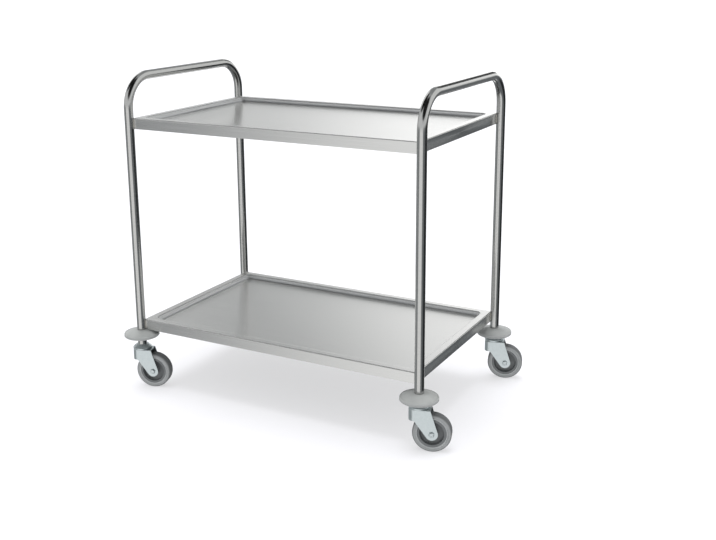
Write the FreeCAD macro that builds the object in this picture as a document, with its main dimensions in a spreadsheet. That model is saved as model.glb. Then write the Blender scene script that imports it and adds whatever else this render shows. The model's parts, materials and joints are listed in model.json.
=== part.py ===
import FreeCAD, Part
import math
import os
import Sketcher

# Two-tier stainless serving trolley on four swivel castors.
# Millimetres, +Z up, +X along the shelves, origin on the floor midway between the four tubes.

SIZES = {
    # end frames, each one tube bent into an upside-down U
    "post_pitch_x": 880,
    "post_pitch_y": 530,
    "tube_dia": 25,
    "tube_wall": 1.5,
    "bend_radius": 85,
    "handle_height": 895.5,
    # shelves: pressed sheet with a flat rim, a recess, a skirt and a turned-in hem
    "lower_shelf_base": 172,
    "shelf_pitch": 583,
    "skirt_height": 30,
    "sheet_gauge": 1.2,
    "shelf_inset_x": 8.5,
    "shelf_inset_y": 3,
    "rim_width": 24,
    "recess_depth": 12,
    "recess_corner": 16,
    "recess_edge_radius": 4.5,
    "recess_floor_radius": 7,
    "fold_radius": 2.5,
    "hem_width": 12,
    "notch_gap": 0.2,
    # weld beads between skirts and tubes
    "weld_radius": 2.5,
    "weld_length": 24,
    # stiffening channel under each shelf floor
    "channel_depth": 14,
    "channel_web": 40,
    "channel_flange": 15,
    "channel_end_gap": 60,
    # bumper discs on the tubes
    "bumper_dia": 100,
    "bumper_height": 25,
    "bumper_foot_dia": 66,
    "bumper_edge_low": 7,
    "bumper_edge_high": 15,
    "bumper_collar": 4,
    "bumper_edge_radius": 5,
    "bumper_gap": 0.3,
    # castor head
    "castor_height": 127,
    "cap_gauge": 2.5,
    "cap_dia": 53,
    "cap_seat_dia": 35,
    "cap_wall": 2,
    "cap_shoulder": 7.5,
    "cap_skirt_gap": 1,
    "cap_edge_radius": 2,
    "ball_dia": 6,
    "ball_circle_dia": 31,
    "ball_gap": 0.1,
    "crown_dia": 38,
    "crown_height": 3.3,
    "stem_dia": 12,
    "stem_flats": 18,
    "stem_head": 7.5,
    "stem_grip": 35,
    "stem_head_gap": 0.3,
    "insert_length": 45,
    "fit_gap": 0.05,
    # castor fork and wheel
    "trail": 34,
    "trail_angle": 18,
    "fork_gap": 34,
    "fork_gauge": 2.5,
    "fork_edge_radius": 4,
    "fork_front": 26,
    "fork_back": 31,
    "leg_end_radius": 16,
    "apron_height": 32,
    "apron_radius": 16,
    "axle_dia": 8,
    "axle_flats": 13,
    "axle_head": 4,
    "axle_nut_height": 6.5,
    "axle_tail": 2.5,
    "sleeve_dia": 12,
    "wheel_dia": 100,
    "tyre_width": 29,
    "tyre_edge_radius": 6,
    "tyre_groove_dia": 82,
    "tyre_groove": 1.2,
    "rim_dia": 75,
    "rim_band": 6,
    "wheel_centre_width": 27,
    "hub_dia": 27,
    "hub_width": 31,
    "web_gauge": 7,
    "draft": 1,
}
BALL_COUNT = 12
# lengths closer than this are taken as the same
SAME_LENGTH = 1e-4
# a cut that takes away less than this, in cubic millimetres, has missed
SMALLEST_CUT = 1

# places of the four corners: sign along X, sign along Y, and the turn of the castor at rest
CORNERS = {
    "left_front": (-1, -1, 0),
    "left_back": (-1, 1, 180),
    "right_front": (1, -1, 0),
    "right_back": (1, 1, 0),
}
# this disc rests pushed up against the lower shelf, and the others on the castor heads
RAISED_BUMPER = "left_front"

doc = FreeCAD.newDocument("serving_trolley")
sheet = doc.addObject("Spreadsheet::Sheet", "dims")
for row, (name, size) in enumerate(SIZES.items(), start=1):
    sheet.set(f"A{row}", name)
    sheet.set(f"B{row}", str(size))
    sheet.setAlias(f"B{row}", name)
doc.recompute()

# lengths that several pieces share
HALF_X = "dims.post_pitch_x / 2"
HALF_Y = "dims.post_pitch_y / 2"
TUBE_RADIUS = "dims.tube_dia / 2"
SHELF_X = "(dims.post_pitch_x - 2 * dims.shelf_inset_x)"
SHELF_Y = "(dims.post_pitch_y - 2 * dims.shelf_inset_y)"
RECESS_X = f"({SHELF_X} - 2 * dims.rim_width)"
RECESS_Y = f"({SHELF_Y} - 2 * dims.rim_width)"
FLOOR_UNDERSIDE = "(dims.skirt_height - dims.recess_depth - dims.sheet_gauge)"
SHELF_BASES = {
    "lower": "dims.lower_shelf_base",
    "upper": "(dims.lower_shelf_base + dims.shelf_pitch)",
}
BUMPER_REST = "(dims.castor_height + dims.bumper_gap)"
BUMPER_RAISED = "(dims.lower_shelf_base - dims.bumper_gap - dims.bumper_height)"
CAP_UNDERSIDE = "(dims.castor_height - dims.cap_gauge)"
BALL_CENTRE = f"({CAP_UNDERSIDE} - dims.ball_gap - dims.ball_dia / 2)"
CROWN_TOP = f"({CAP_UNDERSIDE} - dims.ball_dia - 2 * dims.ball_gap)"
FORK_TOP = f"({CROWN_TOP} - dims.crown_height)"
FORK_PLATE_BASE = f"({FORK_TOP} - dims.fork_gauge)"
APRON_BASE = f"({FORK_TOP} - dims.apron_height)"
STEM_BORE = "(dims.stem_dia / 2 + dims.fit_gap)"
AXLE_BORE = "(dims.axle_dia / 2 + dims.fit_gap)"
AXLE_HEIGHT = "dims.wheel_dia / 2"
FORK_HALF = "(dims.fork_gap / 2)"
FORK_OUTSIDE = f"({FORK_HALF} + dims.fork_gauge)"
LEG_FRONT = "(dims.fork_front - dims.apron_radius)"
LEG_TOP = f"({FORK_TOP} - dims.fork_edge_radius)"

pieces = []


def value(expression):
    """The number that an expression on the sheet gives now."""
    result = sheet.evalExpression(expression)
    return float(getattr(result, "Value", result))


def keep(piece, label):
    piece.Label = label
    pieces.append(piece)
    return piece


def place(piece, x="0", y="0", z="0", rotation=None):
    """Turns a piece and binds its place to the sheet."""
    if rotation is not None:
        piece.Placement = FreeCAD.Placement(FreeCAD.Vector(), rotation)
    for axis, expression in zip("xyz", (x, y, z)):
        piece.setExpression(f"Placement.Base.{axis}", expression)


def new_body(label):
    body = doc.addObject("PartDesign::Body", label)
    return keep(body, label)


def sketch_on(body, name, role, lift=None):
    """A sketch on one of the body's own planes, lifted along its normal."""
    sketch = body.newObject("Sketcher::SketchObject", name)
    plane = next(feature for feature in body.Origin.OriginFeatures if feature.Role == role)
    sketch.AttachmentSupport = [(plane, "")]
    sketch.MapMode = "FlatFace"
    if lift is not None:
        sketch.setExpression("AttachmentOffset.Base.z", lift)
    return sketch


def bind(sketch, expression, kind, *where):
    """A sketch dimension that takes its value from the sheet."""
    number = sketch.addConstraint(Sketcher.Constraint(kind, *where, value(expression)))
    sketch.setExpression(f"Constraints[{number}]", expression)


def outline(sketch, corners):
    """A closed outline of straight edges through corners given as expressions."""
    first = sketch.GeometryCount
    spots = [FreeCAD.Vector(value(x), value(y), 0) for x, y in corners]
    for start, end in zip(spots, spots[1:] + spots[:1]):
        sketch.addGeometry(Part.LineSegment(start, end))
    for index, (x, y) in enumerate(corners):
        following = first + (index + 1) % len(corners)
        sketch.addConstraint(Sketcher.Constraint("Coincident", first + index, 2, following, 1))
        bind(sketch, x, "DistanceX", -1, 1, first + index, 1)
        bind(sketch, y, "DistanceY", -1, 1, first + index, 1)


def flipped_left(corners):
    return [(f"-({x})", y) for x, y in reversed(corners)]


def flipped_down(corners):
    return [(x, f"-({y})") for x, y in reversed(corners)]


def rectangle(sketch, length, width):
    """A rectangle centred on the sketch's origin."""
    x, y = f"{length} / 2", f"{width} / 2"
    outline(sketch, [(f"-{x}", f"-{y}"), (x, f"-{y}"), (x, y), (f"-{x}", y)])


def circle(sketch, x, y, radius):
    middle = FreeCAD.Vector(value(x), value(y), 0)
    index = sketch.addGeometry(Part.Circle(middle, FreeCAD.Vector(0, 0, 1), value(radius)))
    bind(sketch, x, "DistanceX", -1, 1, index, 3)
    bind(sketch, y, "DistanceY", -1, 1, index, 3)
    bind(sketch, radius, "Radius", index)


def rounded_rectangle(sketch, length, width, radius):
    """A rectangle with round corners, centred on the sketch's origin."""
    first = sketch.GeometryCount
    x, y, r = value(length) / 2, value(width) / 2, value(radius)
    turns = [(-x + r, -y + r), (x - r, -y + r), (x - r, y - r), (-x + r, y - r)]
    up = FreeCAD.Vector(0, 0, 1)
    for quarter, (cx, cy) in enumerate(turns):
        begin = math.pi + quarter * math.pi / 2
        arc = Part.Circle(FreeCAD.Vector(cx, cy, 0), up, r)
        sketch.addGeometry(Part.ArcOfCircle(arc, begin, begin + math.pi / 2))
    sides = [((-x + r, -y), (x - r, -y)), ((x, -y + r), (x, y - r)),
             ((x - r, y), (-x + r, y)), ((-x, y - r), (-x, -y + r))]
    for start, end in sides:
        sketch.addGeometry(Part.LineSegment(FreeCAD.Vector(*start, 0), FreeCAD.Vector(*end, 0)))
    for index in range(4):
        arc, side, following = first + index, first + 4 + index, first + (index + 1) % 4
        sketch.addConstraint(Sketcher.Constraint("Tangent", arc, 2, side, 1))
        sketch.addConstraint(Sketcher.Constraint("Tangent", side, 2, following, 1))
        sketch.addConstraint(Sketcher.Constraint("Vertical" if index % 2 else "Horizontal", side))
        if index:
            sketch.addConstraint(Sketcher.Constraint("Equal", first, arc))
    sketch.addConstraint(Sketcher.Constraint("Symmetric", first, 3, first + 2, 3, -1, 1))
    bind(sketch, length, "DistanceX", first + 7, 1, first + 5, 1)
    bind(sketch, width, "DistanceY", first + 4, 1, first + 6, 1)
    bind(sketch, radius, "Radius", first)


def pad(body, sketch, length, name):
    feature = body.newObject("PartDesign::Pad", name)
    feature.Profile = sketch
    feature.setExpression("Length", length)
    doc.recompute()
    return feature


def pocket(body, sketch, length, name, upwards=False):
    """Cuts along the sketch's normal, or against it; without a length it cuts right through."""
    feature = body.newObject("PartDesign::Pocket", name)
    feature.Profile = sketch
    feature.Reversed = upwards
    if length is None:
        feature.Type = "ThroughAll"
    else:
        feature.setExpression("Length", length)
    before = body.Shape.Volume
    doc.recompute()
    if body.Shape.Volume > before - SMALLEST_CUT:
        raise RuntimeError(f"{name} in {body.Label} cuts nothing")
    return feature


def fillet(body, base, radius, name, chosen):
    """Rounds the edges of the newest feature that the test picks out."""
    edges = [f"Edge{i}" for i, edge in enumerate(base.Shape.Edges, start=1) if chosen(edge)]
    if not edges:
        raise RuntimeError(f"{name} in {body.Label} finds no edge")
    feature = body.newObject("PartDesign::Fillet", name)
    feature.Base = (base, edges)
    feature.setExpression("Radius", radius)
    doc.recompute()
    return feature


def near(first, second):
    return abs(first - second) < SAME_LENGTH


def at_height(edge, height):
    return near(edge.BoundBox.ZMin, height) and near(edge.BoundBox.ZMax, height)


def ring_edge(edge, radius, height):
    """True for a full circle about Z of that radius at that height."""
    round_edge = isinstance(edge.Curve, Part.Circle) and edge.isClosed()
    return round_edge and near(edge.Curve.Radius, radius) and at_height(edge, height)


def turned(label, profile):
    """A body turned about its own Z axis, from a profile of radius and height."""
    body = new_body(label)
    sketch = sketch_on(body, "profile", "XZ_Plane")
    outline(sketch, profile)
    feature = body.newObject("PartDesign::Revolution", "turning")
    feature.Profile = sketch
    feature.ReferenceAxis = (sketch, ["V_Axis"])
    doc.recompute()
    return body, feature


def hex_bolt(label, flats, head, shank_radius, shank):
    """A bolt along +Z whose head lies below its origin."""
    prism = doc.addObject("Part::Prism", "bolt_head")
    prism.Polygon = 6
    prism.setExpression("Circumradius", f"{flats} / 2 / cos(30 deg)")
    prism.setExpression("Height", head)
    prism.setExpression("Placement.Base.z", f"-{head}")
    rod = doc.addObject("Part::Cylinder", "bolt_shank")
    rod.setExpression("Radius", shank_radius)
    rod.setExpression("Height", shank)
    bolt = doc.addObject("Part::Fuse", label)
    bolt.Base, bolt.Tool = prism, rod
    return keep(bolt, label)


def end_frame(label, side):
    """One tube from foot to foot, whose top is the handle."""
    body = new_body(label)
    path = sketch_on(body, "tube_line", "YZ_Plane")
    y, foot = value(HALF_Y), value("dims.castor_height")
    top, r = value("dims.handle_height"), value("dims.bend_radius")
    up = FreeCAD.Vector(0, 0, 1)
    path.addGeometry(Part.LineSegment(FreeCAD.Vector(-y, foot, 0), FreeCAD.Vector(-y, top - r, 0)))
    bend = Part.Circle(FreeCAD.Vector(-y + r, top - r, 0), up, r)
    path.addGeometry(Part.ArcOfCircle(bend, math.pi / 2, math.pi))
    path.addGeometry(Part.LineSegment(FreeCAD.Vector(-y + r, top, 0), FreeCAD.Vector(y - r, top, 0)))
    bend = Part.Circle(FreeCAD.Vector(y - r, top - r, 0), up, r)
    path.addGeometry(Part.ArcOfCircle(bend, 0, math.pi / 2))
    path.addGeometry(Part.LineSegment(FreeCAD.Vector(y, top - r, 0), FreeCAD.Vector(y, foot, 0)))
    for joint in ((0, 2, 1, 2), (1, 1, 2, 1), (2, 2, 3, 2), (3, 1, 4, 1)):
        path.addConstraint(Sketcher.Constraint("Tangent", *joint))
    path.addConstraint(Sketcher.Constraint("Vertical", 0))
    path.addConstraint(Sketcher.Constraint("Vertical", 4))
    path.addConstraint(Sketcher.Constraint("Equal", 1, 3))
    path.addConstraint(Sketcher.Constraint("Symmetric", 0, 1, 4, 2, -2))
    bind(path, "dims.post_pitch_y", "DistanceX", 0, 1, 4, 2)
    bind(path, "dims.castor_height", "DistanceY", -1, 1, 0, 1)
    bind(path, "dims.handle_height", "DistanceY", -1, 1, 2, 1)
    bind(path, "dims.bend_radius", "Radius", 1)
    section = sketch_on(body, "tube_section", "XY_Plane", "dims.castor_height")
    circle(section, "0", f"-{HALF_Y}", TUBE_RADIUS)
    circle(section, "0", f"-{HALF_Y}", f"{TUBE_RADIUS} - dims.tube_wall")
    pipe = body.newObject("PartDesign::AdditivePipe", "bent_tube")
    pipe.Profile = section
    pipe.Spine = (path, [f"Edge{number}" for number in range(1, 6)])
    place(body, x=f"{side} * {HALF_X}")
    doc.recompute()


def shelf(level):
    """A shelf pressed from one sheet; its own base is the lower edge of the skirt."""
    body = new_body(f"{level}_shelf")
    top, gauge = value("dims.skirt_height"), value("dims.sheet_gauge")
    floor = top - value("dims.recess_depth")

    def round_recess(height, widened=0):
        """A test for the level edges that run round the recess, or round its outside, one gauge wider."""
        half_x, half_y = value(RECESS_X) / 2 + widened, value(RECESS_Y) / 2 + widened

        def chosen(edge):
            box = edge.BoundBox
            reach_x, reach_y = max(box.XMax, -box.XMin), max(box.YMax, -box.YMin)
            within = reach_x < half_x + SAME_LENGTH and reach_y < half_y + SAME_LENGTH
            return within and at_height(edge, height)

        return chosen

    def outside_recess(height):
        """A test for the level edges that run along the skirts."""
        inner = round_recess(height, value("dims.rim_width") / 2)
        return lambda edge: at_height(edge, height) and not inner(edge)

    sketch = sketch_on(body, "blank", "XY_Plane")
    rectangle(sketch, SHELF_X, SHELF_Y)
    pad(body, sketch, "dims.skirt_height", "sheet_block")
    sketch = sketch_on(body, "recess_outline", "XY_Plane", "dims.skirt_height")
    rounded_rectangle(sketch, RECESS_X, RECESS_Y, "dims.recess_corner")
    pocket(body, sketch, "dims.recess_depth", "recess")
    inside_x, inside_y = f"({SHELF_X} - 2 * dims.sheet_gauge)", f"({SHELF_Y} - 2 * dims.sheet_gauge)"
    sketch = sketch_on(body, "hollow_outline", "XY_Plane")
    rectangle(sketch, inside_x, inside_y)
    pocket(body, sketch, FLOOR_UNDERSIDE, "hollow", upwards=True)
    sketch = sketch_on(body, "rim_outline", "XY_Plane")
    rectangle(sketch, inside_x, inside_y)
    rounded_rectangle(sketch, f"({RECESS_X} + 2 * dims.sheet_gauge)",
                      f"({RECESS_Y} + 2 * dims.sheet_gauge)", "dims.recess_corner + dims.sheet_gauge")
    bends = pocket(body, sketch, "dims.skirt_height - dims.sheet_gauge", "rim_hollow", upwards=True)
    # each bend's inside first, then its outside, one gauge away
    for radius, name, chosen in (
            ("dims.recess_edge_radius - dims.sheet_gauge", "lip_inside", round_recess(top - gauge, gauge)),
            ("dims.fold_radius - dims.sheet_gauge", "fold_inside", outside_recess(top - gauge)),
            ("dims.recess_floor_radius", "foot_inside", round_recess(floor)),
            ("dims.recess_edge_radius", "lip_outside", round_recess(top)),
            ("dims.fold_radius", "fold_outside", outside_recess(top)),
            ("dims.recess_floor_radius + dims.sheet_gauge", "foot_outside",
             round_recess(floor - gauge, gauge))):
        bends = fillet(body, bends, radius, name, chosen)
    sketch = sketch_on(body, "hem_outline", "XY_Plane")
    rectangle(sketch, SHELF_X, SHELF_Y)
    rectangle(sketch, f"({SHELF_X} - 2 * dims.hem_width)", f"({SHELF_Y} - 2 * dims.hem_width)")
    pad(body, sketch, "dims.sheet_gauge", "hem")
    sketch = sketch_on(body, "tube_notches", "XY_Plane")
    for side_x, side_y, _ in CORNERS.values():
        circle(sketch, f"{side_x} * {HALF_X}", f"{side_y} * {HALF_Y}", f"{TUBE_RADIUS} + dims.notch_gap")
    pocket(body, sketch, None, "notches", upwards=True)
    place(body, z=SHELF_BASES[level])


def shelf_channel(level):
    """A hat-shaped stiffener along the shelf, flanges up against the floor."""
    body = new_body(f"{level}_shelf_channel")
    web, gauge, depth = "dims.channel_web / 2", "dims.sheet_gauge", "dims.channel_depth"
    wing, wall = f"({web} + dims.channel_flange)", f"({web} + {gauge})"
    half = [(wing, "0"), (wing, f"-{gauge}"), (wall, f"-{gauge}"), (wall, f"-{depth}")]
    trough = [(f"-{web}", "0"), (f"-{web}", f"{gauge} - {depth}"), (web, f"{gauge} - {depth}"), (web, "0")]
    sketch = sketch_on(body, "hat_section", "YZ_Plane", f"-({SHELF_X} / 2 - dims.channel_end_gap)")
    outline(sketch, half + flipped_left(half) + trough)
    pad(body, sketch, f"{SHELF_X} - 2 * dims.channel_end_gap", "channel")
    place(body, z=f"{SHELF_BASES[level]} + {FLOOR_UNDERSIDE}")


def shelf_welds(level):
    """The beads in the grooves between the skirts and the tubes, as one group."""
    beads, tubes = [], []
    base = SHELF_BASES[level]
    reach_x = f"({HALF_X} - sqrt(({TUBE_RADIUS})^2 - dims.shelf_inset_y^2))"
    reach_y = f"({HALF_Y} - sqrt(({TUBE_RADIUS})^2 - dims.shelf_inset_x^2))"
    for side_x, side_y, _ in CORNERS.values():
        for x, y in ((reach_x, f"{SHELF_Y} / 2"), (f"{SHELF_X} / 2", reach_y)):
            bead = doc.addObject("Part::Cylinder", "bead")
            bead.setExpression("Radius", "dims.weld_radius")
            bead.setExpression("Height", "dims.weld_length")
            place(bead, f"{side_x} * {x}", f"{side_y} * {y}",
                  f"{base} + (dims.skirt_height - dims.weld_length) / 2")
            beads.append(bead)
        tube = doc.addObject("Part::Cylinder", "tube_space")
        tube.setExpression("Radius", TUBE_RADIUS)
        tube.setExpression("Height", "dims.skirt_height")
        place(tube, f"{side_x} * {HALF_X}", f"{side_y} * {HALF_Y}", base)
        tubes.append(tube)
    block = doc.addObject("Part::Box", "shelf_space")
    for side, length in (("Length", SHELF_X), ("Width", SHELF_Y), ("Height", "dims.skirt_height")):
        block.setExpression(side, length)
    place(block, f"-{SHELF_X} / 2", f"-{SHELF_Y} / 2", base)
    group = doc.addObject("Part::Compound", "beads")
    group.Links = beads
    space = doc.addObject("Part::MultiFuse", "weld_space")
    space.Shapes = tubes + [block]
    welds = doc.addObject("Part::Cut", f"{level}_shelf_welds")
    welds.Base, welds.Tool = group, space
    keep(welds, f"{level}_shelf_welds")


def bumper(corner, x, y):
    """A lens-shaped soft disc, threaded on the tube."""
    bore = f"{TUBE_RADIUS} + dims.bumper_gap"
    rim, foot = "dims.bumper_dia / 2", "dims.bumper_foot_dia / 2"
    body, disc = turned(f"bumper_disc_{corner}", [
        (bore, "0"), (foot, "0"), (rim, "dims.bumper_edge_low"), (rim, "dims.bumper_edge_high"),
        (f"{bore} + dims.bumper_collar", "dims.bumper_height"), (bore, "dims.bumper_height")])
    heights = [value("dims.bumper_edge_low"), value("dims.bumper_edge_high")]
    radius = value(rim)
    fillet(body, disc, "dims.bumper_edge_radius", "soft_edge",
           lambda edge: any(ring_edge(edge, radius, height) for height in heights))
    place(body, x, y, BUMPER_RAISED if corner == RAISED_BUMPER else BUMPER_REST)


def swivel_head(corner, x, y):
    """The pieces that stay with the tube: insert, stem bolt, cap and balls."""
    insert_radius = f"{TUBE_RADIUS} - dims.tube_wall - dims.fit_gap"
    insert, _ = turned(f"castor_insert_{corner}", [
        (STEM_BORE, "0"), (insert_radius, "0"),
        (insert_radius, "dims.insert_length"), (STEM_BORE, "dims.insert_length")])
    place(insert, x, y, "dims.castor_height")

    head_top = f"({FORK_PLATE_BASE} - dims.stem_head_gap)"
    bolt = hex_bolt(f"stem_bolt_{corner}", "dims.stem_flats", "dims.stem_head", "dims.stem_dia / 2",
                    f"dims.castor_height + dims.stem_grip - {head_top}")
    place(bolt, x, y, head_top)

    rim, seat = "dims.cap_dia / 2", "dims.cap_seat_dia / 2"
    shoulder = "(dims.castor_height - dims.cap_shoulder)"
    skirt = f"({FORK_TOP} + dims.cap_skirt_gap)"
    cap, dome = turned(f"swivel_cap_{corner}", [
        (STEM_BORE, CAP_UNDERSIDE), (f"{seat} + dims.cap_wall / 2", CAP_UNDERSIDE),
        (f"{rim} - dims.cap_wall", f"{shoulder} - dims.cap_wall / 2"), (f"{rim} - dims.cap_wall", skirt),
        (rim, skirt), (rim, shoulder), (seat, "dims.castor_height"), (STEM_BORE, "dims.castor_height")])
    rings = [(value(rim), value(shoulder)), (value(seat), value("dims.castor_height"))]
    fillet(cap, dome, "dims.cap_edge_radius", "dome_edges",
           lambda edge: any(ring_edge(edge, *ring) for ring in rings))
    place(cap, x, y)

    balls = []
    for number in range(BALL_COUNT):
        turn = f"({number} * 360 / {BALL_COUNT}) * 1 deg"
        ball = doc.addObject("Part::Sphere", "ball")
        ball.setExpression("Radius", "dims.ball_dia / 2")
        place(ball, f"dims.ball_circle_dia / 2 * cos({turn})", f"dims.ball_circle_dia / 2 * sin({turn})",
              BALL_CENTRE)
        balls.append(ball)
    group = doc.addObject("Part::Compound", f"swivel_balls_{corner}")
    group.Links = balls
    place(group, x, y)
    keep(group, f"swivel_balls_{corner}")


def head_outline(sketch, front, back, half, radius):
    """An outline with a straight back and two round front corners, the same on both sides of X."""
    f, b, h, r = value(front), value(back), value(half), value(radius)

    def corner(y, begin):
        bend = Part.Circle(FreeCAD.Vector(r - f, y, 0), FreeCAD.Vector(0, 0, 1), r)
        return Part.ArcOfCircle(bend, begin, begin + math.pi / 2)

    def side(start, end):
        return Part.LineSegment(FreeCAD.Vector(*start, 0), FreeCAD.Vector(*end, 0))

    sketch.addGeometry(corner(r - h, math.pi))
    sketch.addGeometry(side((r - f, -h), (b, -h)))
    sketch.addGeometry(side((b, -h), (b, h)))
    sketch.addGeometry(side((b, h), (r - f, h)))
    sketch.addGeometry(corner(h - r, math.pi / 2))
    sketch.addGeometry(side((-f, h - r), (-f, r - h)))
    for joint in ((0, 2, 1, 1), (3, 2, 4, 1), (4, 2, 5, 1), (5, 2, 0, 1)):
        sketch.addConstraint(Sketcher.Constraint("Tangent", *joint))
    for joint in ((1, 2, 2, 1), (2, 2, 3, 1)):
        sketch.addConstraint(Sketcher.Constraint("Coincident", *joint))
    for kind, edge in (("Horizontal", 1), ("Vertical", 2), ("Horizontal", 3), ("Vertical", 5)):
        sketch.addConstraint(Sketcher.Constraint(kind, edge))
    sketch.addConstraint(Sketcher.Constraint("Equal", 0, 4))
    bind(sketch, back, "DistanceX", -1, 1, 2, 1)
    bind(sketch, f"-{half}", "DistanceY", -1, 1, 2, 1)
    bind(sketch, half, "DistanceY", -1, 1, 2, 2)
    bind(sketch, f"-{front}", "DistanceX", -1, 1, 5, 1)
    bind(sketch, radius, "Radius", 0)


def leg_outline(sketch):
    """A leg that drops straight to the apron's foot, then tapers and ends round about the axle."""
    front, back = value(LEG_FRONT), value("dims.fork_back")
    top, foot = value(LEG_TOP), value(APRON_BASE)
    axle = FreeCAD.Vector(value("dims.trail"), value(AXLE_HEIGHT), 0)
    radius = value("dims.leg_end_radius")

    def tangent_angle(corner, side):
        away = corner - axle
        return math.atan2(away.y, away.x) + side * math.acos(radius / away.Length)

    right, left = FreeCAD.Vector(back, top, 0), FreeCAD.Vector(-front, top, 0)
    low = FreeCAD.Vector(-front, foot, 0)
    start, end = tangent_angle(low, 1), tangent_angle(right, -1) + 2 * math.pi
    arc = Part.ArcOfCircle(Part.Circle(axle, FreeCAD.Vector(0, 0, 1), radius), start, end)
    sketch.addGeometry(Part.LineSegment(right, left))
    sketch.addGeometry(Part.LineSegment(left, low))
    sketch.addGeometry(Part.LineSegment(low, arc.StartPoint))
    sketch.addGeometry(arc)
    sketch.addGeometry(Part.LineSegment(arc.EndPoint, right))
    for joint in ((0, 2, 1, 1), (1, 2, 2, 1), (4, 2, 0, 1)):
        sketch.addConstraint(Sketcher.Constraint("Coincident", *joint))
    for joint in ((2, 2, 3, 1), (3, 2, 4, 1)):
        sketch.addConstraint(Sketcher.Constraint("Tangent", *joint))
    corners = ((0, 1, "dims.fork_back", LEG_TOP), (0, 2, f"-{LEG_FRONT}", LEG_TOP),
               (1, 2, f"-{LEG_FRONT}", APRON_BASE), (3, 3, "dims.trail", AXLE_HEIGHT))
    for edge, point, x, y in corners:
        bind(sketch, x, "DistanceX", -1, 1, edge, point)
        bind(sketch, y, "DistanceY", -1, 1, edge, point)
    bind(sketch, "dims.leg_end_radius", "Radius", 3)


def fork(corner, x, y, turn):
    """A pressed fork: crown, head with a round front apron, and two legs, trailing along its own +X."""
    body = new_body(f"fork_{corner}")
    sketch = sketch_on(body, "head_outside", "XY_Plane", APRON_BASE)
    head_outline(sketch, "dims.fork_front", "dims.fork_back", FORK_OUTSIDE, "dims.apron_radius")
    block = pad(body, sketch, "dims.apron_height", "head_block")
    top, back = value(FORK_TOP), value("dims.fork_back")
    fillet(body, block, "dims.fork_edge_radius", "pressed_edge",
           lambda edge: at_height(edge, top) and not near(edge.BoundBox.XMin, back))
    sketch = sketch_on(body, "head_inside", "XY_Plane", APRON_BASE)
    head_outline(sketch, "(dims.fork_front - dims.fork_gauge)", "(dims.fork_back + dims.fork_gauge)",
                 FORK_HALF, "(dims.apron_radius - dims.fork_gauge)")
    pocket(body, sketch, "dims.apron_height - dims.fork_gauge", "head_space", upwards=True)
    for name, lift in (("near_leg", FORK_HALF), ("far_leg", f"-{FORK_OUTSIDE}")):
        sketch = sketch_on(body, f"{name}_outline", "XZ_Plane", lift)
        leg_outline(sketch)
        pad(body, sketch, "dims.fork_gauge", name)
    sketch = sketch_on(body, "crown_outline", "XY_Plane", FORK_TOP)
    circle(sketch, "0", "0", "dims.crown_dia / 2")
    pad(body, sketch, "dims.crown_height", "crown")
    sketch = sketch_on(body, "stem_outline", "XY_Plane")
    circle(sketch, "0", "0", STEM_BORE)
    pocket(body, sketch, None, "stem_hole", upwards=True)
    sketch = sketch_on(body, "axle_outline", "XZ_Plane", f"2 * {FORK_OUTSIDE}")
    circle(sketch, "dims.trail", AXLE_HEIGHT, AXLE_BORE)
    pocket(body, sketch, None, "axle_hole")
    place(body, x, y, rotation=turn)


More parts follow.
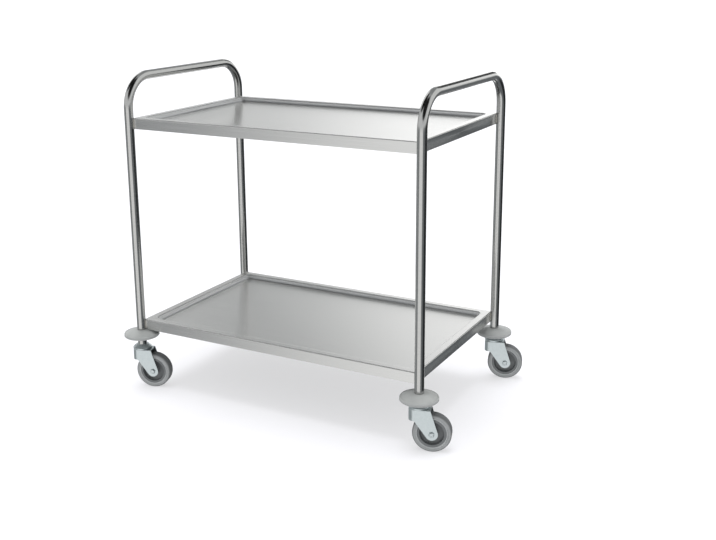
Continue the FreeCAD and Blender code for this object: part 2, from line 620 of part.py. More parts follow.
def wheel_set(corner, x, y, turn):
    """Axle bolt, nut and sleeve, and the wheel that turns on them; their own Z is the axle."""
    across = turn.multiply(FreeCAD.Rotation(FreeCAD.Vector(1, 0, 0), -90))
    bolt = hex_bolt(f"axle_bolt_{corner}", "dims.axle_flats", "dims.axle_head", "dims.axle_dia / 2",
                    f"2 * {FORK_OUTSIDE} + dims.axle_nut_height + dims.axle_tail")

    prism = doc.addObject("Part::Prism", "nut_body")
    prism.Polygon = 6
    prism.setExpression("Circumradius", "dims.axle_flats / 2 / cos(30 deg)")
    prism.setExpression("Height", "dims.axle_nut_height")
    bore = doc.addObject("Part::Cylinder", "nut_bore")
    bore.setExpression("Radius", AXLE_BORE)
    bore.setExpression("Height", "dims.axle_nut_height")
    nut = doc.addObject("Part::Cut", f"axle_nut_{corner}")
    nut.Base, nut.Tool = prism, bore
    keep(nut, f"axle_nut_{corner}")

    sleeve_radius = "dims.sleeve_dia / 2"
    sleeve, _ = turned(f"axle_sleeve_{corner}", [
        (AXLE_BORE, f"-{FORK_HALF}"), (sleeve_radius, f"-{FORK_HALF}"),
        (sleeve_radius, FORK_HALF), (AXLE_BORE, FORK_HALF)])

    bearing, hub, rim = f"{sleeve_radius} + dims.fit_gap", "dims.hub_dia / 2", "dims.rim_dia / 2"
    band = f"({rim} - dims.rim_band)"
    face = [(rim, "dims.wheel_centre_width / 2"), (band, "dims.wheel_centre_width / 2"),
            (f"{band} - dims.draft", "dims.web_gauge / 2"), (f"{hub} + dims.draft", "dims.web_gauge / 2"),
            (hub, "dims.hub_width / 2"), (bearing, "dims.hub_width / 2")]
    centre, _ = turned(f"wheel_centre_{corner}", face + flipped_down(face))

    tread, side = "dims.wheel_dia / 2", "dims.tyre_width / 2"
    groove, depth = "dims.tyre_groove_dia / 2", "dims.tyre_groove"
    wall = [(tread, side), (f"{groove} + {depth}", side), (groove, f"{side} - {depth}"),
            (f"{groove} - {depth}", side), (rim, f"{side} - dims.draft")]
    tyre, band_feature = turned(f"tyre_{corner}", wall + flipped_down(wall))
    tread_radius, half = value(tread), value(side)
    fillet(tyre, band_feature, "dims.tyre_edge_radius", "tread_edges",
           lambda edge: any(ring_edge(edge, tread_radius, height) for height in (half, -half)))

    along = turn.multVec(FreeCAD.Vector(1, 0, 0))
    outward = turn.multVec(FreeCAD.Vector(0, 1, 0))
    for piece, offset in ((bolt, f"-{FORK_OUTSIDE}"), (nut, FORK_OUTSIDE), (sleeve, "0"),
                          (centre, "0"), (tyre, "0")):
        place(piece, f"{x} + dims.trail * ({along.x}) + {offset} * ({outward.x})",
              f"{y} + dims.trail * ({along.y}) + {offset} * ({outward.y})", AXLE_HEIGHT, across)


def build():
    end_frame("left_end_frame", -1)
    end_frame("right_end_frame", 1)
    for level in SHELF_BASES:
        shelf(level)
        shelf_channel(level)
        shelf_welds(level)
    for corner, (side_x, side_y, extra_turn) in CORNERS.items():
        x, y = f"{side_x} * {HALF_X}", f"{side_y} * {HALF_Y}"
        angle = value("dims.trail_angle") + extra_turn
        turn = FreeCAD.Rotation(FreeCAD.Vector(0, 0, 1), angle)
        bumper(corner, x, y)
        swivel_head(corner, x, y)
        fork(corner, x, y, turn)
        wheel_set(corner, x, y, turn)
    doc.recompute()


def check():
    for thing in doc.Objects:
        if "Invalid" in thing.State or "Error" in thing.State:
            raise RuntimeError(f"{thing.Label} failed: {thing.State}")
    for piece in pieces:
        if piece.Shape.isNull() or not piece.Shape.isValid() or not piece.Shape.Solids:
            raise RuntimeError(f"{piece.Label} has no valid shape")


def write():
    os.makedirs("parts", exist_ok=True)
    for piece in pieces:
        piece.Shape.exportStep(os.path.join("parts", f"{piece.Label}.step"))


build()
check()
write()
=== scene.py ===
import json
import math

import bmesh
import bpy
from mathutils import Matrix, Vector


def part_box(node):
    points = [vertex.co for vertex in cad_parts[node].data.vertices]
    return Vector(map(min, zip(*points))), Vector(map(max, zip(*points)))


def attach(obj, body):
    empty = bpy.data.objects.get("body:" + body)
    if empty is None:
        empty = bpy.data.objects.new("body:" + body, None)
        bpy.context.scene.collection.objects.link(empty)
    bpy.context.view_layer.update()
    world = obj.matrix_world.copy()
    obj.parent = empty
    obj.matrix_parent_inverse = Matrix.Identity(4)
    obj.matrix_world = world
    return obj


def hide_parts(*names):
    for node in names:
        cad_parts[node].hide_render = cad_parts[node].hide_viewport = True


# Looks of the two-tier serving trolley: finishes for its nodes, finer tyres, discs, bolts and welds,
# a pale floor, soft light and the camera.

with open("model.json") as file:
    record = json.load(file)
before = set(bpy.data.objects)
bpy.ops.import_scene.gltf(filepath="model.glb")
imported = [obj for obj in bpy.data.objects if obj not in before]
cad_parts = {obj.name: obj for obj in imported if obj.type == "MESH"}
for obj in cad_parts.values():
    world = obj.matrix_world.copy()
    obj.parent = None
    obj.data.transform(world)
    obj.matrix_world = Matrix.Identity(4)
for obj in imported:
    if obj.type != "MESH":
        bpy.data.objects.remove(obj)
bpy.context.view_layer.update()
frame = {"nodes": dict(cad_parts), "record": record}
nodes = frame["nodes"]
joints = {joint["name"]: joint for joint in frame["record"]["behaviour"]["joints"]}
scene = bpy.context.scene
CORNERS = ("left_front", "left_back", "right_front", "right_back")
MM = 0.001
# the vertex attribute that says how much darker a tyre's rubber is coloured, past its side groove
TREAD_DARKENING = "tread_darkening"


def linear(hex_colour):
    """An sRGB hex colour as linear red, green, blue and alpha."""
    channels = [int(hex_colour[i:i + 2], 16) / 255 for i in (1, 3, 5)]
    return [c / 12.92 if c <= 0.04045 else ((c + 0.055) / 1.055) ** 2.4 for c in channels] + [1]


def per_metre(millimetres):
    """The texture scale of a pattern that repeats over that many millimetres."""
    return 1000 / millimetres


def add(tree, kind, inputs=None, output=None, feeds=None, **settings):
    """Adds a node with its settings and returns its output, the first in use unless one is named.

    An input is a value or another node's output, and feeds is a socket that takes the output.
    A Mix node's inputs go by number: 0 is the factor, 2 and 3 are plain values, 6 and 7 are colours.
    """
    made = tree.nodes.new(kind)
    for name, setting in settings.items():
        setattr(made, name, setting)
    for name, given in (inputs or {}).items():
        if isinstance(given, bpy.types.NodeSocket):
            tree.links.new(given, made.inputs[name])
        else:
            made.inputs[name].default_value = given
    if output:
        result = made.outputs[output]
    else:
        result = next(socket for socket in made.outputs if socket.enabled)
    if feeds:
        tree.links.new(result, feeds)
    return result


def finish(name, metallic, roughness):
    """A new material with its plain values set, and the place on the piece that its patterns read."""
    material = bpy.data.materials.new(name)
    material.use_nodes = True
    tree = material.node_tree
    shader = tree.nodes["Principled BSDF"].inputs
    shader["Metallic"].default_value = metallic
    shader["Roughness"].default_value = roughness
    place = add(tree, "ShaderNodeTexCoord", output="Object")
    return material, tree, shader, place


def stainless_tube():
    # Stainless tube, belt polished after bending: a soft mirror crossed by fine rings.
    # The real rings are 0.3 mm apart; they are drawn at 2 mm so that they show.
    material, tree, shader, place = finish("stainless_tube_belt_polished", 1, 0.2)
    ring = per_metre(2)
    along = per_metre(60)
    upright = add(tree, "ShaderNodeMapping", {"Vector": place, "Scale": (along, along, ring)})
    level = add(tree, "ShaderNodeMapping", {"Vector": place, "Scale": (along, ring, along)})
    post = add(tree, "ShaderNodeTexNoise", {"Vector": upright, "Scale": 1, "Detail": 3})
    bar = add(tree, "ShaderNodeTexNoise", {"Vector": level, "Scale": 1, "Detail": 3})
    height = add(tree, "ShaderNodeSeparateXYZ", {"Vector": place}, output="Z")
    # the rings turn with the tube between these heights, in metres
    bend_start = 0.82
    bend_end = 0.88
    at_top = add(tree, "ShaderNodeMapRange",
                 {"Value": height, "From Min": bend_start, "From Max": bend_end})
    rings = add(tree, "ShaderNodeMix", {0: at_top, 2: post, 3: bar})
    add(tree, "ShaderNodeMix", {0: rings, 6: linear("#B0B0AF"), 7: linear("#BEBEBC")},
        feeds=shader["Base Color"], data_type="RGBA")
    add(tree, "ShaderNodeMapRange", {"Value": rings, "To Min": 0.12, "To Max": 0.22},
        feeds=shader["Roughness"])
    add(tree, "ShaderNodeBump", {"Height": rings, "Distance": 0.02 * MM, "Strength": 0.12},
        feeds=shader["Normal"])
    return material


def stainless_sheet():
    # Stainless sheet, brushed along the shelf: a satin grey that smears reflections across the grain.
    # The brush misses the bends, which stay rougher; bends in the recess get painted shade, a greyer
    # colour.
    # The real brush lines are 0.2 mm apart; they are drawn at 1.6 mm so that they show.
    material, tree, shader, place = finish("stainless_sheet_brushed", 1, 0.3)
    shader["Anisotropic"].default_value = 0.7
    add(tree, "ShaderNodeTangent", feeds=shader["Tangent"], direction_type="RADIAL", axis="X")
    line = per_metre(1.6)
    grain = add(tree, "ShaderNodeMapping", {"Vector": place, "Scale": (per_metre(180), line, line)})
    lines = add(tree, "ShaderNodeTexNoise", {"Vector": grain, "Scale": 1, "Detail": 4})
    facing = add(tree, "ShaderNodeTexCoord", output="Normal")
    upwards = add(tree, "ShaderNodeSeparateXYZ", {"Vector": facing}, output="Z")
    # how far a face points upwards: where a level face and an upright one end, and where a bend is full
    level_end = 0.985
    bend_high = 0.88
    bend_low = 0.2
    upright_end = 0.05
    off_level = add(tree, "ShaderNodeMapRange",
                    {"Value": upwards, "From Min": level_end, "From Max": bend_high})
    off_plumb = add(tree, "ShaderNodeMapRange",
                    {"Value": upwards, "From Min": upright_end, "From Max": bend_low})
    bend = add(tree, "ShaderNodeMath", {0: off_level, 1: off_plumb}, operation="MULTIPLY")
    shelf_reach = Vector(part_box("upper_shelf")[1]).to_2d()
    rim_width = 24 * MM
    rim_slack = 1 * MM
    from_middle = add(tree, "ShaderNodeVectorMath", {0: place}, operation="ABSOLUTE")
    from_rim = add(tree, "ShaderNodeVectorMath",
                   {0: from_middle, 1: (shelf_reach.x - rim_width, shelf_reach.y - rim_width, 1)},
                   operation="SUBTRACT")
    past_x = add(tree, "ShaderNodeSeparateXYZ", {"Vector": from_rim}, output="X")
    past_y = add(tree, "ShaderNodeSeparateXYZ", {"Vector": from_rim}, output="Y")
    furthest = add(tree, "ShaderNodeMath", {0: past_x, 1: past_y}, operation="MAXIMUM")
    in_recess = add(tree, "ShaderNodeMath", {0: furthest, 1: rim_slack}, operation="LESS_THAN")
    # painted shade: the bends down in the recess get a greyer colour so that the valley looks shaded
    recess_painted_shade = add(tree, "ShaderNodeMath", {0: bend, 1: in_recess}, operation="MULTIPLY")
    brushed = add(tree, "ShaderNodeMix", {0: lines, 6: linear("#C8C8C7"), 7: linear("#DCDCDA")},
                  data_type="RGBA")
    add(tree, "ShaderNodeMix", {0: recess_painted_shade, 6: brushed, 7: linear("#CCCDCE")}, feeds=shader["Base Color"],
        data_type="RGBA")
    unbrushed = 0.5
    satin = add(tree, "ShaderNodeMapRange", {"Value": lines, "To Min": 0.2, "To Max": 0.3})
    add(tree, "ShaderNodeMix", {0: bend, 2: satin, 3: unbrushed}, feeds=shader["Roughness"])
    add(tree, "ShaderNodeBump", {"Height": lines, "Distance": 0.015 * MM, "Strength": 0.06},
        feeds=shader["Normal"])
    return material


def weld_bead():
    # Stainless weld, brushed clean: a frosty bead with a faint straw tint left by the heat.
    material, tree, shader, place = finish("stainless_weld_brushed", 1, 0.38)
    patches = add(tree, "ShaderNodeTexNoise", {"Vector": place, "Scale": per_metre(9), "Detail": 3})
    frost = add(tree, "ShaderNodeTexNoise", {"Vector": place, "Scale": per_metre(0.6), "Detail": 2})
    add(tree, "ShaderNodeMix", {0: patches, 6: linear("#C4BDB0"), 7: linear("#D6D5D2")},
        feeds=shader["Base Color"], data_type="RGBA")
    add(tree, "ShaderNodeMapRange", {"Value": patches, "To Min": 0.3, "To Max": 0.46},
        feeds=shader["Roughness"])
    add(tree, "ShaderNodeBump", {"Height": frost, "Distance": 0.05 * MM, "Strength": 0.3},
        feeds=shader["Normal"])
    return material


def zinc_plate():
    # Pressed steel, zinc plated and blue passivated: a pale, slightly clouded cool silver.
    material, tree, shader, place = finish("pressed_steel_zinc_plated", 1, 0.34)
    clouds = add(tree, "ShaderNodeTexNoise", {"Vector": place, "Scale": per_metre(7), "Detail": 5})
    crystals = add(tree, "ShaderNodeTexVoronoi", {"Vector": place, "Scale": per_metre(2.5)})
    add(tree, "ShaderNodeMix", {0: clouds, 6: linear("#B4BDBF"), 7: linear("#CDD4D5")},
        feeds=shader["Base Color"], data_type="RGBA")
    add(tree, "ShaderNodeMapRange", {"Value": clouds, "To Min": 0.28, "To Max": 0.44},
        feeds=shader["Roughness"])
    add(tree, "ShaderNodeBump", {"Height": crystals, "Distance": 0.02 * MM, "Strength": 0.15},
        feeds=shader["Normal"])
    return material


def bearing_steel():
    # Hardened bearing steel, lapped and oiled: dark, mirror bright, with uneven patches of oil.
    material, tree, shader, place = finish("bearing_steel_lapped", 1, 0.12)
    oil = add(tree, "ShaderNodeTexNoise", {"Vector": place, "Scale": per_metre(3), "Detail": 2})
    add(tree, "ShaderNodeMix", {0: oil, 6: linear("#8B8A86"), 7: linear("#B4B3B0")},
        feeds=shader["Base Color"], data_type="RGBA")
    add(tree, "ShaderNodeMapRange", {"Value": oil, "To Min": 0.07, "To Max": 0.2},
        feeds=shader["Roughness"])
    return material


def bumper_vinyl():
    # Soft vinyl, moulded: an even mid grey with a fine mould grain and slightly scuffed patches.
    # The grain is 0.4 mm on the real disc and drawn at 0.9 mm so that it shows close up.
    material, tree, shader, place = finish("soft_vinyl_moulded", 0, 0.5)
    shader["IOR"].default_value = 1.52
    scuffs = add(tree, "ShaderNodeTexNoise", {"Vector": place, "Scale": per_metre(22), "Detail": 5})
    grain = add(tree, "ShaderNodeTexNoise", {"Vector": place, "Scale": per_metre(0.9), "Detail": 2})
    add(tree, "ShaderNodeMix", {0: scuffs, 6: linear("#929594"), 7: linear("#A6A8A7")},
        feeds=shader["Base Color"], data_type="RGBA")
    add(tree, "ShaderNodeMapRange", {"Value": scuffs, "To Min": 0.4, "To Max": 0.6},
        feeds=shader["Roughness"])
    add(tree, "ShaderNodeBump", {"Height": grain, "Distance": 0.05 * MM, "Strength": 0.25},
        feeds=shader["Normal"])
    return material


def hub_polypropylene():
    # Polypropylene, moulded: a waxy shine and faint flow marks, on a grey darkened as painted shade.
    material, tree, shader, place = finish("polypropylene_moulded", 0, 0.42)
    shader["IOR"].default_value = 1.49
    flow = add(tree, "ShaderNodeTexNoise",
               {"Vector": place, "Scale": per_metre(14), "Detail": 3, "Distortion": 1.2})
    grain = add(tree, "ShaderNodeTexNoise", {"Vector": place, "Scale": per_metre(0.8), "Detail": 2})
    # painted shade: the grey is dark to stand for the shade in the wheel's hollow centre
    add(tree, "ShaderNodeMix", {0: flow, 6: linear("#5C5F60"), 7: linear("#6C6F70")},
        feeds=shader["Base Color"], data_type="RGBA")
    add(tree, "ShaderNodeMapRange", {"Value": flow, "To Min": 0.34, "To Max": 0.5},
        feeds=shader["Roughness"])
    add(tree, "ShaderNodeBump", {"Height": grain, "Distance": 0.03 * MM, "Strength": 0.2},
        feeds=shader["Normal"])
    return material


def tyre_rubber():
    # Grey non-marking rubber, moulded: matt, with dust in its grain.
    # The rubber is coloured darker past the groove in each side, and darkest on the tread.
    material, tree, shader, place = finish("rubber_moulded", 0, 0.62)
    shader["IOR"].default_value = 1.52
    dust = add(tree, "ShaderNodeTexNoise", {"Vector": place, "Scale": per_metre(12), "Detail": 6})
    grain = add(tree, "ShaderNodeTexNoise", {"Vector": place, "Scale": per_metre(1), "Detail": 3})
    darkened = add(tree, "ShaderNodeAttribute", output="Fac", attribute_name=TREAD_DARKENING)
    clean = add(tree, "ShaderNodeMix", {0: dust, 6: linear("#A2A5A5"), 7: linear("#B8BBBB")},
                data_type="RGBA")
    add(tree, "ShaderNodeMix", {0: darkened, 6: clean, 7: linear("#5B5D5E")}, feeds=shader["Base Color"],
        data_type="RGBA")
    add(tree, "ShaderNodeMapRange", {"Value": dust, "To Min": 0.52, "To Max": 0.74},
        feeds=shader["Roughness"])
    add(tree, "ShaderNodeBump", {"Height": grain, "Distance": 0.06 * MM, "Strength": 0.3},
        feeds=shader["Normal"])
    return material


def floor_acrylic():
    # Opal acrylic sweep, matt and lit from below as on a light table, so that shadows on it stay faint.
    material, tree, shader, place = finish("opal_acrylic_matt", 0, 0.9)
    shader["Emission Color"].default_value = linear("#FFFFFF")
    shader["Emission Strength"].default_value = 0.54
    haze = add(tree, "ShaderNodeTexNoise", {"Vector": place, "Scale": per_metre(40), "Detail": 3})
    add(tree, "ShaderNodeMix", {0: haze, 6: linear("#A6A6AB"), 7: linear("#A9A9AE")},
        feeds=shader["Base Color"], data_type="RGBA")
    return material


def make_finishes():
    """One finish for each kind of surface, shared by the nodes and the finer pieces."""
    return {
        "tube": stainless_tube(),
        "sheet": stainless_sheet(),
        "weld": weld_bead(),
        "zinc": zinc_plate(),
        "balls": bearing_steel(),
        "bumper": bumper_vinyl(),
        "hub": hub_polypropylene(),
        "tyre": tyre_rubber(),
    }


def dress_nodes(finishes):
    """Gives each node the finish of its own material."""
    kinds = {"left_end_frame": "tube", "right_end_frame": "tube"}
    for level in ("upper", "lower"):
        kinds[f"{level}_shelf"] = "sheet"
        kinds[f"{level}_shelf_channel"] = "sheet"
        kinds[f"{level}_shelf_welds"] = "weld"
    for corner in CORNERS:
        for piece in ("castor_insert", "stem_bolt", "swivel_cap", "fork", "axle_bolt", "axle_nut",
                      "axle_sleeve"):
            kinds[f"{piece}_{corner}"] = "zinc"
        kinds[f"swivel_balls_{corner}"] = "balls"
        kinds[f"bumper_disc_{corner}"] = "bumper"
        kinds[f"wheel_centre_{corner}"] = "hub"
        kinds[f"tyre_{corner}"] = "tyre"
    for name, kind in kinds.items():
        mesh = nodes[name].data
        mesh.materials.clear()
        mesh.materials.append(finishes[kind])


def turned(profile, steps, ring=False):
    """Spins a profile of radius and height, in millimetres, once round Z; a ring's profile is closed."""
    shape = bmesh.new()
    points = [shape.verts.new((radius * MM, 0, height * MM)) for radius, height in profile]
    runs = [shape.edges.new(pair) for pair in zip(points, points[1:])]
    if ring:
        runs.append(shape.edges.new((points[-1], points[0])))
    bmesh.ops.spin(shape, geom=points + runs, cent=(0, 0, 0), axis=(0, 0, 1), angle=math.tau,
                   steps=steps, use_merge=True)
    bmesh.ops.remove_doubles(shape, verts=shape.verts, dist=0.001 * MM)
    return shape


def settle(shape, name, material, body, node):
    """Makes a finished shape a piece that rides on its body and stands for its node."""
    sharp_degrees = 32
    bmesh.ops.recalc_face_normals(shape, faces=shape.faces)
    mesh = bpy.data.meshes.new(name)
    shape.to_mesh(mesh)
    shape.free()
    mesh.shade_smooth()
    mesh.set_sharp_from_angle(angle=math.radians(sharp_degrees))
    mesh.materials.append(material)
    piece = bpy.data.objects.new(name, mesh)
    scene.collection.objects.link(piece)
    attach(piece, body)
    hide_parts(node)


def lay_on_axle(shape, corner, along=0):
    """Moves a shape that was turned round Z to a castor's axle, that many millimetres along it."""
    axle = Vector(joints[f"roll_{corner}"]["axis"])
    middle = Vector(joints[f"roll_{corner}"]["pos_m"])
    turn = Vector((0, 0, 1)).rotation_difference(axle).to_matrix().to_4x4()
    move = Matrix.Translation(middle + axle * along * MM)
    bmesh.ops.transform(shape, matrix=move @ turn, verts=shape.verts)


def make_tyre(corner, finishes):
    """A tyre with a groove in each side, sloping shoulders, two grooves in its tread and a mould line."""
    tread = 50
    rim = 37.5
    half_width = 14.5
    bead_drop = 1.5
    groove = 41
    groove_depth = 1.4
    shoulder_start = 45.8
    shoulder_end = 49
    shoulder_drop = 2.2
    tread_edge = 11
    slot = 8.8
    slot_half = 0.9
    slot_depth = 1.8
    line_half = 0.5
    line_depth = 0.4
    side_darkening = 0.4
    side = [(rim, half_width - bead_drop), (groove - groove_depth, half_width),
            (groove, half_width - groove_depth), (groove + groove_depth, half_width),
            (shoulder_start, half_width), (shoulder_end, half_width - shoulder_drop),
            (tread, tread_edge), (tread, slot + slot_half), (tread - slot_depth, slot),
            (tread, slot - slot_half), (tread, line_half)]
    other_side = [(radius, -height) for radius, height in reversed(side)]
    shape = turned(side + [(tread - line_depth, 0)] + other_side, steps=128, ring=True)
    # the rubber's colour gets darker past the side groove, darkest on the tread
    darkening = shape.verts.layers.float.new(TREAD_DARKENING)
    for vert in shape.verts:
        radius = math.hypot(vert.co.x, vert.co.y) / MM
        towards_tread = min(max((radius - shoulder_start) / (tread - shoulder_start), 0), 1)
        vert[darkening] = side_darkening + (1 - side_darkening) * towards_tread if radius > groove else 0
    lay_on_axle(shape, corner)
    settle(shape, f"grooved_tyre_{corner}", finishes["tyre"], f"wheel_{corner}",
           f"tyre_{corner}")


def make_disc(corner, finishes):
    """A bumper disc with a domed top inside a raised lip, and the mould's parting line round its rim."""
    low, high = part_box(f"bumper_disc_{corner}")
    rim = (high[0] - low[0]) / 2 / MM
    top = (high[2] - low[2]) / MM
    bore = 12.8
    collar = 16.8
    foot = 33
    rim_low = 7
    rim_high = 15
    rounding = 1.6
    lip_width = 2.6
    lip_rise = 0.8
    line = 10
    line_half = 0.5
    line_depth = 0.5
    dome_steps = 10
    dome_curve = 1.7
    dome_edge = rim - lip_width - lip_rise
    rise = top - rim_high
    profile = [(bore, 0), (foot, 0), (rim - rounding, rim_low - rounding / 2),
               (rim, rim_low + rounding / 2), (rim, line - line_half), (rim - line_depth, line),
               (rim, line + line_half), (rim, rim_high - rounding),
               (rim - rounding / 3, rim_high - rounding / 3),
               (rim - rounding, rim_high + lip_rise), (rim - lip_width, rim_high + lip_rise)]
    for step in range(dome_steps + 1):
        inwards = step / dome_steps
        radius = dome_edge + (collar - dome_edge) * inwards
        profile.append((radius, top - rise * (1 - inwards) ** dome_curve))
    profile.append((bore, top))
    shape = turned(profile, steps=96, ring=True)
    middle = ((low[0] + high[0]) / 2, (low[1] + high[1]) / 2, low[2])
    bmesh.ops.translate(shape, vec=middle, verts=shape.verts)
    settle(shape, f"domed_disc_{corner}", finishes["bumper"], f"bumper_{corner}",
           f"bumper_disc_{corner}")


# the axle's bolt and nut, in millimetres
AXLE_FLATS = 13
HEX_FACE_RADIUS = 5.4
HEX_CHAMFER = 1.6
AXLE_RADIUS = 4
FORK_OUTSIDE = 19.5
BOLT_HEAD = 4
NUT_HEIGHT = 6.5
AXLE_TAIL = 2.5
THREAD_PITCH = 1.25
THREAD_DEPTH = 0.6


def make_six_sided(shape):
    """Moves the points on the circle across the flats out to the hexagon round it."""
    sixth = math.tau / 6
    slack = 0.05 * MM
    for vert in shape.verts:
        radius = math.hypot(vert.co.x, vert.co.y)
        if abs(radius - AXLE_FLATS / 2 * MM) < slack:
            from_flat = math.atan2(vert.co.y, vert.co.x) % sixth - sixth / 2
            vert.co.xy *= 1 / math.cos(from_flat)


def make_axle_bolt(corner, finishes):
    """The bolt that holds a wheel: a chamfered head with a dished face, a plain shank and a thread."""
    dish_radius = 3.2
    dish_depth = 0.4
    flat = AXLE_FLATS / 2
    thread_start = 2 * FORK_OUTSIDE
    end = thread_start + NUT_HEIGHT + AXLE_TAIL
    profile = [(0, dish_depth - BOLT_HEAD), (dish_radius - dish_depth, dish_depth - BOLT_HEAD),
               (dish_radius, -BOLT_HEAD), (HEX_FACE_RADIUS, -BOLT_HEAD), (flat, HEX_CHAMFER - BOLT_HEAD),
               (flat, 0), (AXLE_RADIUS, 0), (AXLE_RADIUS, thread_start)]
    for number in range(int((end - thread_start) / THREAD_PITCH)):
        valley = thread_start + (number + 0.5) * THREAD_PITCH
        profile.append((AXLE_RADIUS - THREAD_DEPTH, valley))
        profile.append((AXLE_RADIUS, valley + THREAD_PITCH / 2))
    profile += [(AXLE_RADIUS - THREAD_DEPTH, end), (0, end)]
    shape = turned(profile, steps=48)
    make_six_sided(shape)
    lay_on_axle(shape, corner, -FORK_OUTSIDE)
    settle(shape, f"threaded_bolt_{corner}", finishes["zinc"], f"castor_{corner}",
           f"axle_bolt_{corner}")


def make_axle_nut(corner, finishes):
    """The nut on a wheel's bolt, chamfered on both faces."""
    play = 0.05
    bore = AXLE_RADIUS + play
    countersink = 0.5
    flat = AXLE_FLATS / 2
    inner_half = [(bore, countersink), (bore + countersink, 0), (HEX_FACE_RADIUS, 0),
                  (flat, HEX_CHAMFER)]
    outer_half = [(radius, NUT_HEIGHT - height) for radius, height in reversed(inner_half)]
    shape = turned(inner_half + outer_half, steps=48, ring=True)
    make_six_sided(shape)
    lay_on_axle(shape, corner, FORK_OUTSIDE)
    settle(shape, f"chamfered_nut_{corner}", finishes["zinc"], f"castor_{corner}",
           f"axle_nut_{corner}")


def rippled_bead(length):
    """One weld bead along Z, laid down as a row of ripples that taper at both ends."""
    radius = 2.4
    ripple_depth = 0.5
    ripple_pitch = 1.7
    rows_per_ripple = 5
    end_bluntness = 0.15
    rows = round(length / ripple_pitch) * rows_per_ripple
    profile = [(0, -length / 2)]
    for row in range(rows):
        done = (row + 0.5) / rows
        ripple = abs(math.sin(math.pi * (row + 0.5) / rows_per_ripple))
        taper = math.sin(math.pi * done) ** end_bluntness
        profile.append(((radius - ripple_depth * (1 - ripple)) * taper, length * (done - 0.5)))
    profile.append((0, length / 2))
    return turned(profile, steps=24)


def trim(shape, point, outward):
    """Cuts away what lies behind a plane and closes the cut."""
    whole = shape.verts[:] + shape.edges[:] + shape.faces[:]
    bmesh.ops.bisect_plane(shape, geom=whole, plane_co=point, plane_no=outward, clear_inner=True)
    bmesh.ops.holes_fill(shape, edges=[edge for edge in shape.edges if edge.is_boundary])


def make_welds(level, finishes):
    """The beads in the corners between a shelf's skirts and the tubes, sunk a little into both."""
    node = f"{level}_shelf_welds"
    shelf_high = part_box(f"{level}_shelf")[1]
    weld_low, weld_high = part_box(node)
    tube_low, tube_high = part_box("left_end_frame")
    tube_radius = (tube_high[0] - tube_low[0]) / 2
    sunk = 0.6 * MM
    beads = bmesh.new()
    for corner in CORNERS:
        tube = Vector(joints[f"swivel_{corner}"]["pos_m"]).to_2d()
        side_x = math.copysign(1, tube.x)
        side_y = math.copysign(1, tube.y)
        skirt_x = side_x * shelf_high[0]
        skirt_y = side_y * shelf_high[1]
        reach_x = math.sqrt(tube_radius ** 2 - (tube.y - skirt_y) ** 2)
        reach_y = math.sqrt(tube_radius ** 2 - (tube.x - skirt_x) ** 2)
        long_side = Vector((tube.x - side_x * reach_x, skirt_y))
        end_side = Vector((skirt_x, tube.y - side_y * reach_y))
        for spot, off_skirt in ((long_side, Vector((0, side_y))), (end_side, Vector((side_x, 0)))):
            bead = rippled_bead((weld_high[2] - weld_low[2]) / MM)
            middle = Vector((spot.x, spot.y, (weld_low[2] + weld_high[2]) / 2))
            bmesh.ops.translate(bead, vec=middle, verts=bead.verts)
            for outward in (off_skirt.to_3d(), (spot - tube).normalized().to_3d()):
                trim(bead, middle - outward * sunk, outward)
            one_bead = bpy.data.meshes.new("bead")
            bead.to_mesh(one_bead)
            bead.free()
            beads.from_mesh(one_bead)
            bpy.data.meshes.remove(one_bead)
    settle(beads, f"{level}_weld_beads", finishes["weld"], "frame", node)


def make_finer_pieces(finishes):
    """The pieces that are finer than the solids they stand for."""
    for corner in CORNERS:
        make_tyre(corner, finishes)
        make_disc(corner, finishes)
        make_axle_bolt(corner, finishes)
        make_axle_nut(corner, finishes)
    for level in ("upper", "lower"):
        make_welds(level, finishes)


def lay_floor():
    """A wide light table that glossy metal doesn't mirror, so that steel keeps its dark sides."""
    bpy.ops.mesh.primitive_circle_add(vertices=96, radius=40, fill_type="NGON")
    floor = bpy.context.object
    floor.name = "floor"
    floor.data.materials.append(floor_acrylic())
    floor.visible_glossy = False


def patch(tree, towards, behind, middle, edge, core, colour):
    """Lays a soft round patch of colour over what metal mirrors behind it.

    Edge and core are cosines of the angle from the patch's middle, where it begins and where it is full.
    """
    nearness = add(tree, "ShaderNodeVectorMath", {0: towards, 1: middle}, operation="DOT_PRODUCT")
    cover = add(tree, "ShaderNodeMapRange", {"Value": nearness, "From Min": edge, "From Max": core},
                interpolation_type="SMOOTHSTEP")
    return add(tree, "ShaderNodeMix", {0: cover, 6: behind, 7: colour}, data_type="RGBA")


def mirrored_below(tree, towards):
    """What metal mirrors below the horizon: dim sides, a dark flag on the right and pale patches."""
    sides = patch(tree, towards, linear("#616466"), (-0.95, -0.05, -0.25), 0.72, 0.92, linear("#86898A"))
    flagged = patch(tree, towards, sides, (0.83, 0.52, -0.2), 0.8, 0.92, linear("#222426"))
    lit_front = patch(tree, towards, flagged, (0.09, -0.945, -0.31), 0.68, 0.89, linear("#D6D6D6"))
    lit_back = patch(tree, towards, lit_front, (-0.12, 0.79, -0.6), 0.95, 0.98, linear("#E8E8E8"))
    return patch(tree, towards, lit_back, (-0.47, 0.88, -0.04), 0.97, 0.99, linear("#C8C9C9"))


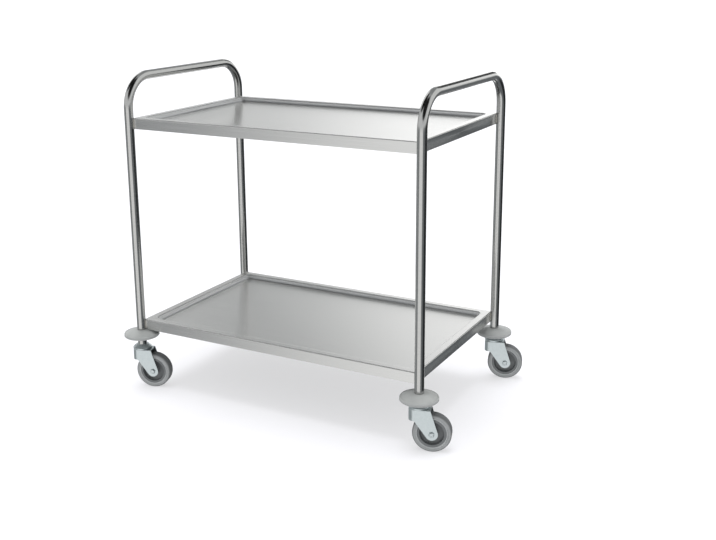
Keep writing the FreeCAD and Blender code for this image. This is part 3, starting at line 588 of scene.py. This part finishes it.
def mirrored_above(tree, towards):
    """What metal mirrors above the horizon: light walls, a white one behind, and three dark flags."""
    high_wall = patch(tree, towards, linear("#808283"), (-0.75, 0.4, 0.53), 0.93, 0.98, linear("#F0F0F0"))
    back_wall = patch(tree, towards, linear("#C8C9C9"), (-0.5, 0, 0.87), 0.42, 0.57, high_wall)
    walls = patch(tree, towards, linear("#BCBDBE"), (0, 1, 0), -0.3, 0.5, back_wall)
    lit_walls = patch(tree, towards, walls, (-0.1, 0.98, 0.14), 0.87, 0.955, linear("#FFFFFF"))
    flag_behind = patch(tree, towards, lit_walls, (0, 0.915, 0.4), 0.955, 0.985, linear("#343536"))
    flag_overhead = patch(tree, towards, flag_behind, (-0.55, -0.1, 0.83), 0.86, 0.92, linear("#0E0F0F"))
    return patch(tree, towards, flag_overhead, (0.35, -0.45, 0.82), 0.76, 0.86, linear("#0E0F0F"))


def light_room():
    """An even white room, in which glossy metal mirrors a studio with dark flags and pale patches."""
    world = bpy.data.worlds.new("studio")
    scene.world = world
    world.use_nodes = True
    tree = world.node_tree
    towards = add(tree, "ShaderNodeTexCoord", output="Generated")
    mirrored = patch(tree, towards, mirrored_below(tree, towards), (0, 0, 1), -0.06, 0.04,
                     mirrored_above(tree, towards))
    studio = add(tree, "ShaderNodeBackground", {"Color": mirrored, "Strength": 1.75})
    white = add(tree, "ShaderNodeBackground", {"Color": linear("#FFFFFF"), "Strength": 1})
    glossy = add(tree, "ShaderNodeLightPath", output="Is Glossy Ray")
    add(tree, "ShaderNodeMixShader", {0: glossy, 1: white, 2: studio},
        feeds=tree.nodes["World Output"].inputs["Surface"])


def hang_softbox(aim):
    """A lamp far off, wide enough for soft shadows, which shows in neither the picture nor the metal."""
    light = bpy.data.lights.new("softbox", "SUN")
    light.energy = 2.2
    light.angle = math.radians(36)
    lamp = bpy.data.objects.new("softbox", light)
    scene.collection.objects.link(lamp)
    lamp.rotation_euler = Vector(aim).to_track_quat("-Z", "Y").to_euler()
    lamp.visible_camera = False
    lamp.visible_glossy = False


def set_camera():
    """The photograph's viewing angle, solved from the edges of the shelves, tubes and handles."""
    image_width, image_height = 716, 540
    focal_pixels = 1020.3
    middle_x, middle_y = 345, 222
    yaw, pitch, roll = 0.5002, 0.2506, -0.0077
    place = Vector((1.4128, -2.4243, 1.1982))
    data = bpy.data.cameras.new("photo_camera")
    data.sensor_width = 36
    data.lens = focal_pixels / image_width * data.sensor_width
    data.shift_x = (image_width / 2 - middle_x) / image_width
    data.shift_y = (middle_y - image_height / 2) / image_width
    camera = bpy.data.objects.new("photo_camera", data)
    scene.collection.objects.link(camera)
    ahead = Vector((-math.sin(yaw) * math.cos(pitch), math.cos(yaw) * math.cos(pitch), -math.sin(pitch)))
    level = Vector((math.cos(yaw), math.sin(yaw), 0))
    upright = level.cross(ahead)
    right = level * math.cos(roll) + upright * math.sin(roll)
    up = upright * math.cos(roll) - level * math.sin(roll)
    turn = Matrix((right, up, -ahead)).transposed().to_4x4()
    camera.matrix_world = Matrix.Translation(place) @ turn
    scene.camera = camera


scene.view_settings.view_transform = "Standard"
surface_finishes = make_finishes()
dress_nodes(surface_finishes)
make_finer_pieces(surface_finishes)
lay_floor()
light_room()
hang_softbox((0.1, -0.06, -1))
set_camera()
